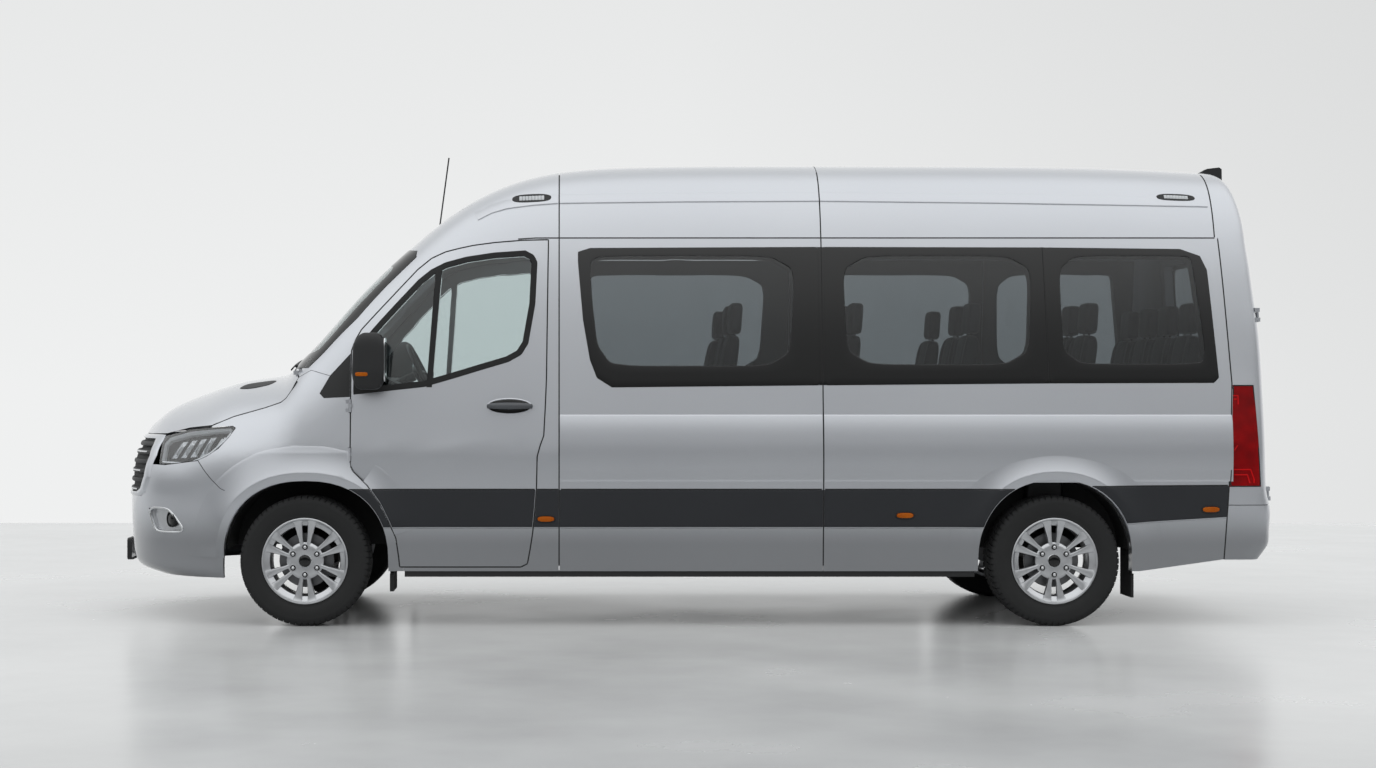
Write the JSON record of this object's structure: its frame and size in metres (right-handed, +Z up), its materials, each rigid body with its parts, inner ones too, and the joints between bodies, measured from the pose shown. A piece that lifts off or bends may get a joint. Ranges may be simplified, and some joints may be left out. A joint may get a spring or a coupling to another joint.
{
  "type": "minibus",
  "caption": "Long high-roof passenger minibus with glazed sides, hinged cab and rear doors, hinged bonnet, steered front wheels and rows of seats.",
  "frame": {"origin": "centre of the bounding box on the ground", "axes": "+X to the rear, +Y to the vehicle's right, +Z up"},
  "size_m": [6.7924, 2.344, 2.8126],
  "materials": {
    "silver_paint": "metallic silver automotive paint, clear coat",
    "tinted_glass": "tinted bonded glass with a black printed border",
    "black_plastic": "grained black plastic",
    "clear_lens": "clear headlamp lens",
    "red_lens": "red lamp lens",
    "amber_lens": "amber lamp lens",
    "alloy": "silver painted cast alloy wheel",
    "tyre": "black tyre rubber",
    "frame_steel": "black chassis paint on steel",
    "floor_steel": "floor pan under a dark vinyl covering",
    "cast_iron": "raw casting",
    "tank_plastic": "moulded tank",
    "plate_plastic": "blank number plate",
    "seat_cloth": "dark woven seat cloth"
  },
  "bodies": {
    "body": {"cab_seats": "seat_cloth", "cab_shell": "silver_paint", "chassis_frame": "frame_steel", "dashboard": "black_plastic", "engine_block": "cast_iron", "exhaust": "frame_steel", "floor": "floor_steel", "front_bumper": "silver_paint", "front_fenders": "silver_paint", "front_lamps": "clear_lens", "front_suspension": "frame_steel", "fuel_tank": "tank_plastic", "grille": "black_plastic", "marker_lamps": "amber_lens", "number_plate": "plate_plastic", "passenger_seats": "seat_cloth", "radiator": "frame_steel", "rear_axle": "frame_steel", "rear_bumper": "silver_paint", "rear_frame": "silver_paint", "roof": "silver_paint", "roof_antenna": "black_plastic", "sail_panels": "black_plastic", "side_glass": "tinted_glass", "side_panel_right": "silver_paint", "side_panels_left": "silver_paint", "sills": "black_plastic", "sliding_door": "silver_paint", "steering_column": "frame_steel", "tail_lamps": "red_lens", "wheel_liners": "black_plastic", "windscreen": "tinted_glass", "wipers": "black_plastic"},
    "knuckle_left": {"knuckle_left": "cast_iron"},
    "knuckle_right": {"knuckle_right": "cast_iron"},
    "wheel_front_left": {"tyre_front_left": "tyre", "rim_front_left": "alloy"},
    "wheel_front_right": {"tyre_front_right": "tyre", "rim_front_right": "alloy"},
    "wheel_rear_left": {"tyre_rear_left": "tyre", "rim_rear_left": "alloy"},
    "wheel_rear_right": {"tyre_rear_right": "tyre", "rim_rear_right": "alloy"},
    "door_front_left": {"door_front_left": "silver_paint", "door_glass_left": "tinted_glass", "door_handle_left": "silver_paint", "mirror_left": "black_plastic"},
    "door_front_right": {"door_front_right": "silver_paint", "door_glass_right": "tinted_glass", "door_handle_right": "silver_paint", "mirror_right": "black_plastic"},
    "door_rear_left": {"door_rear_left": "silver_paint", "rear_glass_left": "tinted_glass"},
    "door_rear_right": {"door_rear_right": "silver_paint", "rear_glass_right": "tinted_glass"},
    "bonnet": {"bonnet": "silver_paint"},
    "steering_wheel": {"steering_wheel": "black_plastic"}
  },
  "joints": [
    {"name": "steering_wheel_turn", "type": "hinge", "parent": "body", "child": "steering_wheel", "pos_m": [-1.58117, -0.45, 1.47], "axis": [0.8942, 0, 0.4478], "range_deg": [-500, 500]},
    {"name": "steer_left", "type": "hinge", "parent": "body", "child": "knuckle_left", "pos_m": [-2.22117, -0.8, 0.3755], "axis": [0, 0, 1], "range_deg": [-35, 35]},
    {"name": "steer_right", "type": "hinge", "parent": "body", "child": "knuckle_right", "pos_m": [-2.22117, 0.8, 0.3755], "axis": [0, 0, 1], "range_deg": [-35, 35]},
    {"name": "wheel_front_left_spin", "type": "hinge", "parent": "knuckle_left", "child": "wheel_front_left", "pos_m": [-2.22117, -0.865, 0.3755], "axis": [0, -1, 0], "continuous": true},
    {"name": "wheel_front_right_spin", "type": "hinge", "parent": "knuckle_right", "child": "wheel_front_right", "pos_m": [-2.22117, 0.865, 0.3755], "axis": [0, -1, 0], "continuous": true},
    {"name": "wheel_rear_left_spin", "type": "hinge", "parent": "body", "child": "wheel_rear_left", "pos_m": [2.10383, -0.865, 0.3755], "axis": [0, -1, 0], "continuous": true},
    {"name": "wheel_rear_right_spin", "type": "hinge", "parent": "body", "child": "wheel_rear_right", "pos_m": [2.10383, 0.865, 0.3755], "axis": [0, -1, 0], "continuous": true},
    {"name": "door_front_left_hinge", "type": "hinge", "parent": "body", "child": "door_front_left", "pos_m": [-1.95817, -1.00071, 1.1], "axis": [0, -0.0733, -0.9973], "range_deg": [0, 70]},
    {"name": "door_front_right_hinge", "type": "hinge", "parent": "body", "child": "door_front_right", "pos_m": [-1.95817, 1.00071, 1.1], "axis": [0, -0.0733, 0.9973], "range_deg": [0, 70]},
    {"name": "door_rear_left_hinge", "type": "hinge", "parent": "body", "child": "door_rear_left", "pos_m": [3.37584, -0.85, 0.74], "axis": [0.0571, 0, -0.9984], "range_deg": [0, 95]},
    {"name": "door_rear_right_hinge", "type": "hinge", "parent": "body", "child": "door_rear_right", "pos_m": [3.37584, 0.85, 0.74], "axis": [-0.0571, 0, 0.9984], "range_deg": [0, 95]},
    {"name": "bonnet_hinge", "type": "hinge", "parent": "body", "child": "bonnet", "pos_m": [-2.26717, 0, 1.48], "axis": [0, 1, 0], "range_deg": [0, 50]}
  ],
  "couplings": [
    {"joint": "steer_left", "follows": "steering_wheel_turn", "ratio": 0.07},
    {"joint": "steer_right", "follows": "steering_wheel_turn", "ratio": 0.07}
  ]
}
